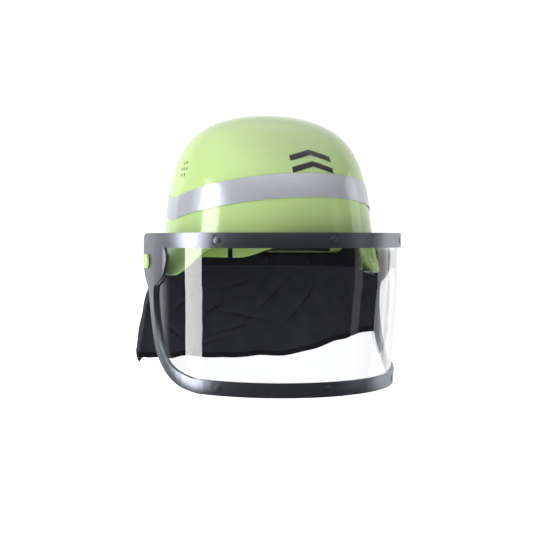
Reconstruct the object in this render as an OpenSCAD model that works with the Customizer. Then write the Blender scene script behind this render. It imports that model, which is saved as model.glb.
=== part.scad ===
/* [Shell] */
// Height of the crown above the visor's pivot line
crown_z = 143; // [140:0.5:144]
// Half of the shell's length where the dome meets the brim
shell_half_l = 127; // [123:0.5:127]
// Half of the shell's width where the dome meets the brim
shell_half_w = 98; // [95:0.5:98]
// Thickness of the shell's wall
wall = 3; // [2.4:0.1:3.2]
// Extra half-width of the ear flaps at their lower edge
side_flare = 15; // [12:0.5:15]
// Height of the rim over the forehead
brow_rim_z = 13.5; // [12:0.5:14]
// Height of the rim under the ear flaps
flap_rim_z = -12; // [-13:0.5:-11]
// Height of the rim over the nape
nape_rim_z = -14; // [-15:0.5:-13]
// Radius of each vent hole
vent_r = 1.5; // [1.2:0.1:1.6]

/* [Reflective tape] */
// Width of the two reflective tapes
tape_w = 22; // [20:0.5:24]
// Thickness of the reflective tapes
tape_t = 0.5; // [0.4:0.1:0.6]

/* [Visor] */
// Half of the visor's outside width
visor_half_w = 122; // [121.5:0.1:123]
// Distance from the pivot line to the visor's front face
visor_front = 152.5; // [152:0.5:155]
// Thickness of the visor frame
frame_t = 3; // [2.6:0.1:3]
// Thickness of the clear pane
pane_t = 1; // [0.8:0.1:1]
// Height of the upper bar's top edge
bar_top_z = 26.5; // [25:0.5:27]
// Height of the upper bar's bottom edge
bar_low_z = 13; // [12.5:0.5:14]
// Height of the lower bar's top edge
chin_top_z = -103.5; // [-105:0.5:-102]
// Height of the lower bar's bottom edge
chin_low_z = -116.5; // [-118:0.5:-116]

/* [Pivot] */
// Radius of each visor pivot pin
pin_r = 3; // [2.5:0.1:3.2]
// Radius of each green pivot button
button_r = 7; // [6.5:0.1:7.5]

/* [Headband] */
// Half of the headband's inside width
band_half_w = 78; // [76:0.5:79]
// Half of the headband's inside length
band_half_l = 98; // [95:0.5:98]
// Thickness of the headband
band_t = 1.8; // [1.5:0.1:2]

/* [Neck cloth] */
// Lowest height of the neck cloth at the back
cloth_low_z = -111; // [-114:1:-108]
// Thickness of the neck cloth
cloth_t = 1.6; // [1.2:0.1:1.8]

/* [Hidden] */

// Everything round that a pin or hole depends on
round_fn = 64;
// Room between touching faces of one body
touch = 0.05;
// Room under a film or disc that lies on a curved face
skin_gap = 0.3;
// Running clearance of the visor on its pins
run = 0.05;

// Shell outline: the dome starts at belt_z and the flare lies below it
belt_z = 28;
dome_h = crown_z - belt_z;
flare_h = belt_z - flap_rim_z;
end_flare = 3;
columns = 72;
skirt_rows = 3;
dome_rows = 10;
rows = skirt_rows + dome_rows;
vent_y = -12;
vent_z = 88;
vent_gap = 5.8;

// Visor outline: a rounded oval in front, straight pads beside the pivots
oval_n = 2.1;
oval_back = 7;
pad_back_y = 14;
pane_gap = 0.15;
taper_z = -22;
chin_half_w = 118;
chin_front = 142;
chin_n = 2;
chin_tilt = 5;
bar_mid_z = (bar_top_z + bar_low_z) / 2;
chin_mid_z = (chin_top_z + chin_low_z) / 2;
stud_angle = 47;
stud_r = 3.6;
rivet_r = 1.5;

// Pivot stack from the shell outwards
boss_r = 10;
boss_in_x = 102.5;
boss_out_x = 115.6;
ear_in_x = visor_half_w - frame_t;
washer_out_x = ear_in_x - 0.4;
button_in_x = visor_half_w + 0.4;
button_h = 4.2;
nut_h = 3;
nut_r = 6;

// Headband and harness
band_low_z = 13;
band_dip = 9;
band_top_z = 38;
arm_back_y = 45;
nape_gap = 0.6;
nape_front_y = 22;
nape_bend_y = 52;
nape_reach = 46;
nape_low_z = 8;
nape_top_z = 30;
peg_y = 34;
peg_r = 2.5;
peg_travel = 12;
notch_angle = 51;
notch_w = 6;
clip_z = 48;
clip_h = 14;
clip_w = 24;
strap_w = 20;
strap_t = 1.2;
strap_top_z = 114;
crown_pad_r = 30;

// Neck cloth
cloth_from = 95;
cloth_top_z = 6;
cloth_in = 1.5;
hem_h = 6;
cloth_left_z = -95;
cloth_right_z = -77;
cloth_columns = 32;
cloth_rows = 8;
cloth_level_row = cloth_rows - 4;
cloth_step = 10;
cloth_swing = 20;
cloth_tuck_w = 111;
binding_low_z = -8;

function smooth(x) = x <= 0 ? 0 : x >= 1 ? 1 : x * x * (3 - 2 * x);
function blend(a, b, t) = a + (b - a) * t;
function power(v, p) = sign(v) * pow(abs(v), p);

// Shell: half-width and half-length at height z, and its rim's height at angle a from the front
function rise(z) = max(0, min(1, (z - belt_z) / dome_h));
function drop(z) = max(0, (belt_z - z) / flare_h);
function shell_w(z) = shell_half_w * (1 - 0.13 * rise(z)) * pow(1 - pow(rise(z), 5), 0.45)
  + side_flare * pow(drop(z), 1.4);
function shell_l(z) = shell_half_l * (1 - 0.13 * rise(z)) * pow(1 - pow(rise(z), 3), 0.48)
  + end_flare * pow(drop(z), 1.4);
function shell_pt(a, z, out) = [(shell_w(z) + out) * sin(a), -(shell_l(z) + out) * cos(a), z];
function rim_z(a) = let (b = abs(a > 180 ? a - 360 : a))
  brow_rim_z
  + (flap_rim_z - brow_rim_z) * smooth((b - 55) / 19)
  + (2 - flap_rim_z) * smooth((b - 113) / 11)
  + (nape_rim_z - 2) * smooth((b - 130) / 11);

// A lofted closed skin: rows of points, each with the same number of columns, capped by two poles
function row_z(i, a) = i < skirt_rows
  ? blend(rim_z(a), belt_z, i / skirt_rows)
  : belt_z + dome_h * sin(90 * (i - skirt_rows) / dome_rows);
function skin_rows(out, drop_top) = [
  for (i = [0 : rows - 1])
    for (j = [0 : columns - 1])
      let (a = 360 * j / columns, z = row_z(i, a), p = shell_pt(a, z, out))
        [p[0], p[1], z - drop_top * rise(z)]
];
function quad(a, b, c, d) = [[a, b, c], [a, c, d]];
function skin_faces(first, pole, flip) = [
  for (i = [0 : rows - 2])
    for (j = [0 : columns - 1])
      let (k = (j + 1) % columns, a = first + i * columns)
        each [
          for (f = quad(a + j, a + k, a + columns + k, a + columns + j)) flip ? [f[2], f[1], f[0]] : f
        ],
  for (j = [0 : columns - 1])
    let (k = (j + 1) % columns, a = first + (rows - 1) * columns)
      flip ? [pole, a + k, a + j] : [a + j, a + k, pole]
];

// A closed band on a surface: point(a, v, side) gives the point at angle a, height share v and side 0 or 1
module band(points, across, along) {
  inner = across * along;
  polyhedron(
    points = points,
    faces = [
      for (f = [0, 1])
        for (i = [0 : along - 2])
          for (j = [0 : across - 2])
            let (a = f * inner + i * across + j)
              each [
                for (q = quad(a, a + across, a + across + 1, a + 1)) f == 1 ? [q[2], q[1], q[0]] : q
              ],
      for (i = [0 : along - 2])
        for (j = [0, across - 1])
          let (a = i * across + j)
            each [
              for (q = quad(a, a + inner, a + inner + across, a + across)) j == 0 ? q : [q[2], q[1], q[0]]
            ],
      for (i = [0, along - 1])
        for (j = [0 : across - 2])
          let (a = i * across + j)
            each [for (q = quad(a, a + 1, a + 1 + inner, a + inner)) i == 0 ? q : [q[2], q[1], q[0]]]
    ],
    convexity = 8
  );
}

// Tape heights: two level bands that tilt, so they meet in a V at the sides
function tape_mid(a) = cos(a) > 0 ? 50 + 19 * cos(a) : 50 - 12 * cos(a);
module shell_band(from, to, steps, low, high, in, out, across = 4) {
  band(
    [
      for (side = [in, out])
        for (i = [0 : steps])
          for (v = [0 : across - 1])
            let (a = blend(from, to, i / steps))
              shell_pt(a, tape_mid(a) + blend(low, high, v / (across - 1)), side)
    ],
    across, steps + 1
  );
}

module vent_holes() {
  for (r = [-1, 0, 1])
    for (i = [0 : r == 0 ? 2 : 1]) translate([0, vent_y + (i - (r == 0 ? 1 : 0.5)) * vent_gap, vent_z + r * vent_gap])
      rotate([0, 90, 0]) cylinder(r = vent_r, h = 260, center = true, $fn = round_fn);
}

module along_x(x0, x1, r) {
  translate([x0, 0, 0]) rotate([0, 90, 0]) cylinder(r = r, h = x1 - x0, $fn = round_fn);
}

module shell() {
  outer = skin_rows(0, 0);
  inner = skin_rows(-wall, wall);
  n = rows * columns;
  color([0.70, 0.82, 0.56]) difference() {
    union() {
      polyhedron(
        points = concat(outer, [[0, 0, crown_z]], inner, [[0, 0, crown_z - wall]]),
        faces = concat(
          skin_faces(0, n, true),
          skin_faces(n + 1, 2 * n + 1, false),
          [for (j = [0 : columns - 1])
            let (k = (j + 1) % columns) each quad(j, k, n + 1 + k, n + 1 + j)]
        ),
        convexity = 8
      );
      for (s = [0, 180]) rotate([0, 0, s]) along_x(boss_in_x, boss_out_x, boss_r);
    }
    for (s = [0, 180]) rotate([0, 0, s]) {
      along_x(boss_in_x - 1, boss_out_x + 1, pin_r + touch);
      along_x(boss_in_x - nut_h - 4, boss_in_x, nut_r + 0.5);
    }
    vent_holes();
  }
}

module front_reflective_tape() {
  color([0.80, 0.82, 0.86]) shell_band(-84, 84, 28, -tape_w / 2, tape_w / 2, skin_gap, skin_gap + tape_t);
}

module rear_reflective_tape() {
  color([0.80, 0.82, 0.86]) shell_band(84.5, 275.5, 32, -tape_w / 2, tape_w / 2, skin_gap, skin_gap + tape_t);
}

module front_decal() {
  color([0.07, 0.07, 0.08]) intersection() {
    shell_band(-27, 27, 9, 8, 36, skin_gap, skin_gap + 0.4, 8);
    for (z = [80, 91]) rotate([90, 0, 0]) linear_extrude(160)
      polygon([[-20, z], [0, z + 6], [20, z], [20, z + 5], [0, z + 11], [-20, z + 5]]);
  }
}

// Headband plan: a half oval in front and straight arms towards the back
function band_arc(out) = [for (a = [-90 : 5 : 90]) [(band_half_w + out) * sin(a), -(band_half_l + out) * cos(a)]];
function band_plan(out, back) = concat([[-band_half_w - out, back]], band_arc(out), [[band_half_w + out, back]]);
module band_wall(in, out, back, low, high) {
  translate([0, 0, low]) linear_extrude(high - low)
    polygon(concat(band_plan(out, back), [for (i = [38 : -1 : 0]) band_plan(in, back)[i]]));
}

module peg_slot() {
  for (s = [-1, 1]) translate([s * (band_half_w + 1), 0, (nape_low_z + nape_top_z) / 2]) {
    for (y = [peg_y - peg_travel, peg_y + peg_travel * 0.5]) translate([0, y, 0])
      rotate([0, 90, 0]) cylinder(r = peg_r + 0.3, h = 12, center = true, $fn = round_fn);
    translate([0, peg_y - peg_travel * 0.25, 0])
      cube([12, peg_travel * 1.5, 2 * (peg_r + 0.3)], center = true);
  }
}

module headband() {
  color([0.40, 0.58, 0.33]) difference() {
    band_wall(0, band_t, arm_back_y, band_low_z - band_dip, band_top_z);
    rotate([90, 0, 0]) linear_extrude(2 * band_half_l + 80, center = true) polygon([
      [-28, band_low_z - 20], [-28, band_low_z], [2 * band_half_w, band_low_z],
      [2 * band_half_w, band_low_z - 20]
    ]);
    rotate([90, 0, 0]) linear_extrude(band_half_l + 40)
      polygon([[-52, band_low_z - band_dip], [-28, band_low_z - band_dip], [-28, band_low_z]]);
    for (s = [-1, 1]) rotate([0, 0, s * notch_angle]) translate([0, -band_half_l, band_low_z - 10])
      cube([notch_w, 60, 26], center = true);
    peg_slot();
  }
}

module brow_pad() {
  arc = function (out) [for (a = [-46 : 4 : 46]) [(band_half_w + out) * sin(a), -(band_half_l + out) * cos(a)]];
  inner = arc(-6);
  color([0.16, 0.16, 0.18]) translate([0, 0, band_low_z + 1]) linear_extrude(22)
    polygon(concat(arc(-0.3), [for (i = [len(inner) - 1 : -1 : 0]) inner[i]]));
}

function nape_plan(out) = concat(
  [[band_half_w + band_t + nape_gap + out, nape_front_y]],
  [for (a = [0 : 5 : 180])
    [(band_half_w + band_t + nape_gap + out) * cos(a), nape_bend_y + (nape_reach + out) * sin(a)]],
  [[-(band_half_w + band_t + nape_gap + out), nape_front_y]]
);
module nape_strap() {
  inner = nape_plan(0);
  color([0.20, 0.21, 0.23]) difference() {
    translate([0, 0, nape_low_z]) linear_extrude(nape_top_z - nape_low_z)
      polygon(concat(nape_plan(band_t), [for (i = [len(inner) - 1 : -1 : 0]) inner[i]]));
    translate([0, peg_y, (nape_low_z + nape_top_z) / 2])
      rotate([0, 90, 0]) cylinder(r = 1.5 + touch, h = 240, center = true, $fn = round_fn);
  }
}

module nape_pad() {
  arc = function (out) [for (a = [52 : 4 : 128])
    [(band_half_w + band_t + nape_gap + out) * cos(a), nape_bend_y + (nape_reach + out) * sin(a)]];
  inner = arc(-5);
  color([0.16, 0.16, 0.18]) translate([0, 0, nape_low_z + 1.5]) linear_extrude(nape_top_z - nape_low_z - 3)
    polygon(concat(arc(-0.3), [for (i = [len(inner) - 1 : -1 : 0]) inner[i]]));
}

module size_pegs() {
  x = band_half_w + band_t + nape_gap + band_t;
  color([0.20, 0.21, 0.23]) for (s = [0, 180])
    rotate([0, 0, s]) mirror([0, s == 0 ? 0 : 1, 0]) translate([0, peg_y, (nape_low_z + nape_top_z) / 2]) {
      along_x(x + touch, x + 1.8, 4.5);
      along_x(band_half_w - 0.6, x + touch + 0.1, 1.5);
      along_x(band_half_w - 1.6, band_half_w - 0.4, peg_r + 0.8);
    }
}

// A crown strap is half an oval: it rises from a clip on one side, passes the crown and comes down
module crown_strap(reach, top) {
  arc = function (out) [for (a = [-90 : 4.5 : 90])
    [(reach + out) * power(sin(a), 0.8), clip_z - 4 + (top - clip_z + 4 + out) * power(cos(a), 0.8)]];
  outer = arc(0);
  rotate([90, 0, 0]) translate([0, 0, -strap_w / 2]) linear_extrude(strap_w)
    polygon(concat(arc(-strap_t), [for (i = [len(outer) - 1 : -1 : 0]) outer[i]]));
}
module lengthwise_crown_strap() {
  color([0.16, 0.16, 0.18]) rotate([0, 0, 90]) crown_strap(113, strap_top_z + strap_t + 0.4);
}
module crosswise_crown_strap() {
  color([0.16, 0.16, 0.18]) crown_strap(86, strap_top_z);
}
module crown_pad() {
  color([0.20, 0.21, 0.23]) translate([0, 0, strap_top_z - strap_t - 8.5]) rotate_extrude($fn = round_fn)
    polygon([[0, 0], [crown_pad_r - 6, 0.6], [crown_pad_r, 2.5], [crown_pad_r - 2, 5], [12, 7.2], [0, 7.6]]);
}

// Each clip holds a strap's end against the inside of the shell
clip_spots = [
  [0, shell_l(clip_z + clip_h / 2) - wall - 1.2, 113], [90, shell_w(clip_z + clip_h / 2) - wall - 0.6, 86],
  [180, shell_l(clip_z + clip_h / 2) - wall - 1.2, 113], [270, shell_w(clip_z + clip_h / 2) - wall - 0.6, 86]
];
module hanger_clips() {
  color([0.20, 0.21, 0.23]) for (c = clip_spots) rotate([0, 0, c[0]])
    translate([0, -(c[1] + c[2] + 0.2) / 2, clip_z - clip_h / 2 - 4]) difference() {
      translate([-clip_w / 2, -(c[1] - c[2] - 0.2) / 2, 0]) cube([clip_w, c[1] - c[2] - 0.2, clip_h]);
      translate([0, 0, clip_h * 0.5]) rotate([90, 0, 0])
        cylinder(r = 2, h = 30, center = true, $fn = round_fn);
    }
}

// Short links carry the headband below the clips
module band_hangers() {
  color([0.20, 0.21, 0.23]) for (c = clip_spots) {
    inner = (c[0] == 0 ? band_half_l : band_half_w) + band_t + 0.3;
    if (c[0] != 180) rotate([0, 0, c[0]]) {
      translate([-7, -c[2] - 1.2, 32]) cube([14, 1.8, clip_z - clip_h / 2 - 4 - 32 - touch]);
      translate([-7, -c[2] - 1.2, 30]) cube([14, c[2] + 1.2 - inner, 2]);
      translate([-7, -inner - 1.6, 18]) cube([14, 1.6, 12]);
    }
  }
}

module pivot_pin(s) {
  color([0.55, 0.57, 0.60]) rotate([0, 0, s]) {
    along_x(boss_in_x - nut_h - 1, button_in_x + 2, pin_r);
  }
}
module left_pivot_pin() { pivot_pin(180); }
module right_pivot_pin() { pivot_pin(0); }

module pivot_button(s) {
  color([0.78, 0.90, 0.66]) rotate([0, 0, s]) difference() {
    translate([button_in_x, 0, 0]) rotate([0, 90, 0]) rotate_extrude($fn = round_fn)
      polygon(concat(
        [[0, 0], [button_r, 0], [button_r, 1.4]],
        [for (a = [10 : 10 : 90]) [button_r * cos(a), 1.4 + (button_h - 1.4) * sin(a)]]
      ));
    along_x(button_in_x - 1, button_in_x + 2 + touch, pin_r + touch);
  }
}
module left_pivot_button() { pivot_button(180); }
module right_pivot_button() { pivot_button(0); }

module pivot_washer(s) {
  color([0.30, 0.31, 0.33]) rotate([0, 0, s]) difference() {
    along_x(boss_out_x + touch, washer_out_x, boss_r - 1);
    along_x(boss_out_x - 1, washer_out_x + 1, pin_r + touch);
  }
}
module left_pivot_washer() { pivot_washer(180); }
module right_pivot_washer() { pivot_washer(0); }

module pivot_nut(s) {
  color([0.55, 0.57, 0.60]) rotate([0, 0, s]) difference() {
    translate([boss_in_x - nut_h, 0, 0]) rotate([0, 90, 0]) cylinder(r = nut_r, h = nut_h - touch, $fn = 6);
    along_x(boss_in_x - nut_h - 1, boss_in_x + 1, pin_r + touch);
  }
}
module left_pivot_nut() { pivot_nut(180); }
module right_pivot_nut() { pivot_nut(0); }

// Visor plan, moved inwards by inset: down is 0 at the bar and the pivots, 1 below the lower bar
function oval(a, w, l, n) = [w * power(sin(a), 2 / n), -oval_back - l * power(cos(a), 2 / n)];
function visor_xy(a, inset, down = 0) = blend(
  oval(a, visor_half_w - inset, visor_front - oval_back - inset, oval_n),
  oval(a, chin_half_w - inset, chin_front - oval_back - inset, chin_n),
  down
);
function visor_ring(inset, down, z) = [
  for (p = concat(
    [[visor_xy(-90, inset, down)[0], pad_back_y + 4]],
    [for (a = [-90 : 4 : 90]) visor_xy(a, inset, down)],
    [[visor_xy(90, inset, down)[0], pad_back_y + 4]]
  )) [p[0], p[1], z]
];
module visor_block(inset) {
  rings = [
    visor_ring(inset, 0, bar_top_z + 2), visor_ring(inset, 0, taper_z),
    visor_ring(inset, 1, chin_low_z - 2)
  ];
  n = len(rings[0]);
  polyhedron(
    points = [for (r = rings) each r],
    faces = concat(
      [[for (i = [n - 1 : -1 : 0]) i]],
      [[for (i = [0 : n - 1]) 2 * n + i]],
      [for (r = [0, 1]) for (j = [0 : n - 1])
        let (k = (j + 1) % n, a = r * n)
          each quad(a + j, a + k, a + n + k, a + n + j)]
    ),
    convexity = 4
  );
}
module visor_wall(inset, t) {
  difference() {
    visor_block(inset);
    visor_block(inset + t);
  }
}

// A smooth curve through a list of points, for the visor's side outline
function spline_at(p, i, t) =
  let (a = p[max(i - 1, 0)], b = p[i], c = p[i + 1], d = p[min(i + 2, len(p) - 1)])
    0.5 * (2 * b + (c - a) * t + (2 * a - 5 * b + 4 * c - d) * t * t + (3 * b - a - 3 * c + d) * t * t * t);
function spline(p, steps) = [
  for (i = [0 : len(p) - 2]) for (k = [0 : steps - 1]) spline_at(p, i, k / steps), p[len(p) - 1]
];

// Side outlines as [y, z]
far_y = -visor_front - 10;
rear_edge = spline([
  [6, bar_top_z], [12, bar_top_z - 2], [pad_back_y, bar_top_z - 9], [pad_back_y, -6], [8, -17], [-1, -26],
  [-5, -42], [-9, -63], [-18, -84], [-36, -101], [-58, -112], [-80, chin_low_z]
], 4);
lobe_edge = spline([
  [-42, bar_low_z], [-46, 6], [-45, -2], [-40, -12], [-30, -19], [-19, -25], [-17.5, -42], [-22, -63],
  [-32, -82], [-50, -96], [-76, chin_top_z]
], 4);
pane_edge = spline([
  [-13, bar_top_z - 2], [-13, -12], [-6, -24], [0, -34], [1, -48], [-3, -64], [-12, -84], [-31, -101],
  [-56, -111.5], [-78, chin_low_z + 2]
], 4);

module side_mask(points) {
  rotate([90, 0, 90]) translate([0, 0, -visor_half_w - 10]) linear_extrude(2 * visor_half_w + 20)
    polygon(points);
}

// A rivet's place on the visor, turned to stand square on the wall
function share_down(z) = max(0, (taper_z - z) / (taper_z - chin_low_z + 2));
function visor_turn(a) = let (d = visor_xy(a + 1, 0) - visor_xy(a - 1, 0)) atan2(d[1], d[0]);
module at_studs(z) {
  for (a = [-stud_angle, 0, stud_angle]) {
    p = visor_xy(a, 0, share_down(z));
    translate([p[0], p[1], z]) rotate([0, 0, visor_turn(a)])
      rotate([90 + (z < taper_z ? chin_tilt : 0), 0, 0]) children();
  }
}
module rivet_holes(z) {
  at_studs(z) cylinder(r = rivet_r + touch, h = 20, center = true, $fn = round_fn);
}

module visor_frame() {
  color([0.56, 0.58, 0.62]) difference() {
    intersection() {
      visor_wall(0, frame_t);
      side_mask(concat([[far_y, chin_low_z], [far_y, bar_top_z]], rear_edge));
    }
    side_mask(concat([[far_y, bar_low_z]], lobe_edge, [[far_y, chin_top_z]]));
    for (s = [0, 180]) rotate([0, 0, s]) along_x(ear_in_x - 2, visor_half_w + 2, pin_r + run);
    rivet_holes(bar_mid_z);
    rivet_holes(chin_mid_z);
  }
}

module visor_pane() {
  color([0.85, 0.90, 0.92, 0.35]) difference() {
    intersection() {
      visor_wall(frame_t + pane_gap, pane_t);
      side_mask(concat([[far_y, chin_low_z + 2], [far_y, bar_top_z - 2]], pane_edge));
    }
    rivet_holes(bar_mid_z);
    rivet_holes(chin_mid_z);
  }
}

module studs(z) {
  inside = frame_t + pane_gap + pane_t + 0.4;
  color([0.56, 0.58, 0.62]) at_studs(z) {
    translate([0, 0, 0.15]) rotate_extrude($fn = round_fn)
      polygon(concat([[0, 0]], [for (a = [0 : 15 : 90]) [stud_r * cos(a), 0.2 + 0.7 * sin(a)]]));
    translate([0, 0, -inside - 1]) cylinder(r = rivet_r, h = inside + 1.2, $fn = round_fn);
    translate([0, 0, -inside - 1]) cylinder(r = stud_r, h = 1, $fn = round_fn);
  }
}
module upper_visor_studs() { studs(bar_mid_z); }
module lower_visor_studs() { studs(chin_mid_z); }

// Neck cloth: a curtain that hangs from the rim's inside, from flap to flap
function cloth_bottom(share) =
  let (b = abs(2 * share - 1), side = share < 0.5 ? cloth_right_z : cloth_left_z)
    blend(cloth_low_z, side, smooth((b - 0.35) / 0.6));
// On the +X side its front edge swings forwards inside the visor as it falls
function cloth_start(z) = cloth_from - cloth_swing * smooth((flap_rim_z - z) / 12);
function cloth_w(z, v) =
  let (free = blend(shell_w(0) - wall - cloth_in, 127, pow(v, 0.8)))
    z < nape_rim_z - 2 ? free : min(free, shell_w(z) - wall - cloth_in);
function cloth_pt(share, z, in) =
  let (v = (cloth_top_z - z) / (cloth_top_z - cloth_low_z),
       a = blend(cloth_start(z), 360 - cloth_from, share),
       free = cloth_w(z, v),
       w = a > 125 ? free : blend(free, min(free, cloth_tuck_w), smooth((125 - a) / 25)),
       l = blend(shell_l(0) - wall - cloth_in, 129, v))
    [(w - in) * sin(a), -(l - in) * cos(a), z];
// Level rows near the rim, then rows shared out down to the hem
function cloth_row_z(share, v) = v >= cloth_level_row
  ? cloth_top_z - cloth_step * (cloth_rows - 1 - v)
  : blend(cloth_bottom(share) + hem_h + touch, cloth_top_z - 3 * cloth_step, v / cloth_level_row);
module cloth_band(across, height, in, out) {
  band(
    [
      for (side = [in, out])
        for (i = [0 : cloth_columns])
          for (v = [0 : across - 1]) cloth_pt(i / cloth_columns, height(i / cloth_columns, v), side)
    ],
    across, cloth_columns + 1
  );
}
module neck_cloth() {
  color([0.16, 0.16, 0.20]) cloth_band(cloth_rows, function (share, v) cloth_row_z(share, v), cloth_t, 0);
}
module neck_cloth_hem() {
  color([0.09, 0.09, 0.12])
    cloth_band(2, function (share, v) cloth_bottom(share) + v * hem_h, cloth_t + 0.4, -0.4);
}
module neck_cloth_binding() {
  color([0.10, 0.10, 0.12])
    cloth_band(3, function (share, v) binding_low_z + 6 * v, cloth_t + skin_gap + 1.7, cloth_t + skin_gap + 0.2);
}

// Snap caps lie flat on the binding, so each leans with it
module neck_cloth_snaps() {
  inside = cloth_t + skin_gap + 1.7;
  for (a = [100, 127, 153, 180, 207, 233, 260]) {
    share = (a - cloth_from) / (360 - 2 * cloth_from);
    low = cloth_pt(share, -6, inside);
    high = cloth_pt(share, 2, inside);
    lean = atan2(norm([low[0], low[1]]) - norm([high[0], high[1]]), 8);
    color([0.20, 0.21, 0.23]) translate(cloth_pt(share, -2, inside)) rotate([0, 0, a]) rotate([-90 - lean, 0, 0])
      translate([0, 0, 2 * skin_gap]) cylinder(r = 4, h = 1.6, $fn = round_fn);
  }
}

shell();
front_reflective_tape();
rear_reflective_tape();
front_decal();
headband();
brow_pad();
nape_strap();
nape_pad();
size_pegs();
lengthwise_crown_strap();
crosswise_crown_strap();
crown_pad();
hanger_clips();
band_hangers();
left_pivot_pin();
right_pivot_pin();
left_pivot_button();
right_pivot_button();
left_pivot_washer();
right_pivot_washer();
left_pivot_nut();
right_pivot_nut();
visor_frame();
visor_pane();
upper_visor_studs();
lower_visor_studs();
neck_cloth();
neck_cloth_hem();
neck_cloth_binding();
neck_cloth_snaps();
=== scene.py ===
"""Firefighter helmet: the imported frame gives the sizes, and the operators below build the visible pieces.

Everything is in metres in the frame's own axes: -Y is the wearer's front, +X the right of a front view and
+Z up. The origin lies halfway between the visor's two pivots.
"""

import math

import bpy
from bpy.props import FloatProperty, FloatVectorProperty, IntProperty, PointerProperty
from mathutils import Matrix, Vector, noise


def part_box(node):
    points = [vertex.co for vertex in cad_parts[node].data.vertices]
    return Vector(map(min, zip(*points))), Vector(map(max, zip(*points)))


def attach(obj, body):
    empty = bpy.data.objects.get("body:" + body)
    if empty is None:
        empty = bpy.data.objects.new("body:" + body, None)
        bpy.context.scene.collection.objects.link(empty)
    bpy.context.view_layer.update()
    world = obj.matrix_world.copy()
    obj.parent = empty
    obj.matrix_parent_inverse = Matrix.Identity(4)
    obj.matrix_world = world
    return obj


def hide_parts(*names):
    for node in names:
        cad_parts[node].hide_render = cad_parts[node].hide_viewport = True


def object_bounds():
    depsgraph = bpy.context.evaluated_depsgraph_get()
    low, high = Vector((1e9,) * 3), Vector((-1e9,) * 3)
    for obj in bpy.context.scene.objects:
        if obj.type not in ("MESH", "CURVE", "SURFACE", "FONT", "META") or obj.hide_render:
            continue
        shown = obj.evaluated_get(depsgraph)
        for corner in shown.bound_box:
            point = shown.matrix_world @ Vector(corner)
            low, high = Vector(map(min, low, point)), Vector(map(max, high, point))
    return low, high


bl_info = {
    "name": "Firefighter Helmet",
    "version": (1, 0, 0),
    "blender": (4, 5, 0),
    "location": "View3D > Sidebar > Helmet",
    "description": "Builds a luminous fire helmet with its visor, harness and neck curtain",
    "category": "Object",
}

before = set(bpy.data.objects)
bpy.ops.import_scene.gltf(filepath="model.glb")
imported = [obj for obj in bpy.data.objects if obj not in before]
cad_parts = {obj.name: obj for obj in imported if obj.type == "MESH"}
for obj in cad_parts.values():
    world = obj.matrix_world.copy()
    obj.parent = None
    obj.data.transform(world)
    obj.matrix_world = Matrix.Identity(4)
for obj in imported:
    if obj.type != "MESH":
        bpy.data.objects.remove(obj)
CAD_BOX = [list(corner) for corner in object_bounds()]
MM = 0.001


# ---------------------------------------------------------------- settings


class ShellSettings(bpy.types.PropertyGroup):
    colour: FloatVectorProperty(
        name="Shell colour", description="Luminous plastic of the shell and its pivot buttons",
        subtype="COLOR", size=3, min=0, max=1, default=(0.420, 0.580, 0.235),
    )
    wall: FloatProperty(
        name="Wall", description="Thickness of the shell's wall", unit="LENGTH", default=3 * MM, min=1 * MM,
    )
    vent_radius: FloatProperty(
        name="Vent radius", description="Radius of each vent hole", unit="LENGTH", default=1.7 * MM,
    )
    mark_colour: FloatVectorProperty(
        name="Mark colour", description="Film of the front mark", subtype="COLOR", size=3,
        default=(0.012, 0.012, 0.014),
    )


class TapeSettings(bpy.types.PropertyGroup):
    colour: FloatVectorProperty(
        name="Tape colour", description="Silver of the reflective tape", subtype="COLOR", size=3,
        default=(0.42, 0.44, 0.49),
    )
    width: FloatProperty(
        name="Tape width", description="Width of both tapes", unit="LENGTH", default=22 * MM,
    )
    thickness: FloatProperty(
        name="Tape thickness", description="Thickness of the film", unit="LENGTH", default=0.35 * MM,
    )


class VisorSettings(bpy.types.PropertyGroup):
    frame_colour: FloatVectorProperty(
        name="Frame colour", description="Grey plastic of the visor frame", subtype="COLOR", size=3,
        default=(0.225, 0.241, 0.280),
    )
    pane_tint: FloatVectorProperty(
        name="Pane tint", description="Tint of the clear pane", subtype="COLOR", size=3,
        default=(0.965, 0.975, 0.985),
    )
    edge_radius: FloatProperty(
        name="Edge radius", description="Rounding of the frame's edges", unit="LENGTH", default=0.55 * MM,
    )


class CurtainSettings(bpy.types.PropertyGroup):
    colour: FloatVectorProperty(
        name="Cloth colour", description="Charcoal cloth of the neck curtain", subtype="COLOR", size=3,
        default=(0.028, 0.028, 0.040),
    )
    thickness: FloatProperty(
        name="Cloth thickness", description="Thickness of the cloth", unit="LENGTH", default=0.7 * MM,
    )
    fold_depth: FloatProperty(
        name="Fold depth", description="Depth of the soft folds at the lower edge", unit="LENGTH",
        default=4.2 * MM,
    )
    stitch_length: FloatProperty(
        name="Stitch length", description="Length of one hem stitch", unit="LENGTH", default=3.0 * MM,
    )


class HarnessSettings(bpy.types.PropertyGroup):
    band_colour: FloatVectorProperty(
        name="Headband colour", description="Green plastic of the headband", subtype="COLOR", size=3,
        default=(0.450, 0.640, 0.200),
    )
    webbing_colour: FloatVectorProperty(
        name="Webbing colour", description="Black webbing and harness plastic", subtype="COLOR", size=3,
        default=(0.018, 0.018, 0.021),
    )
    pad_voxel: FloatProperty(
        name="Pad mesh size", description="Cell size of the padded pieces", unit="LENGTH", default=2.2 * MM,
    )
    pad_frames: IntProperty(
        name="Pad frames", description="Steps for which a pad swells", default=16, min=2, max=40,
    )


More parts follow.
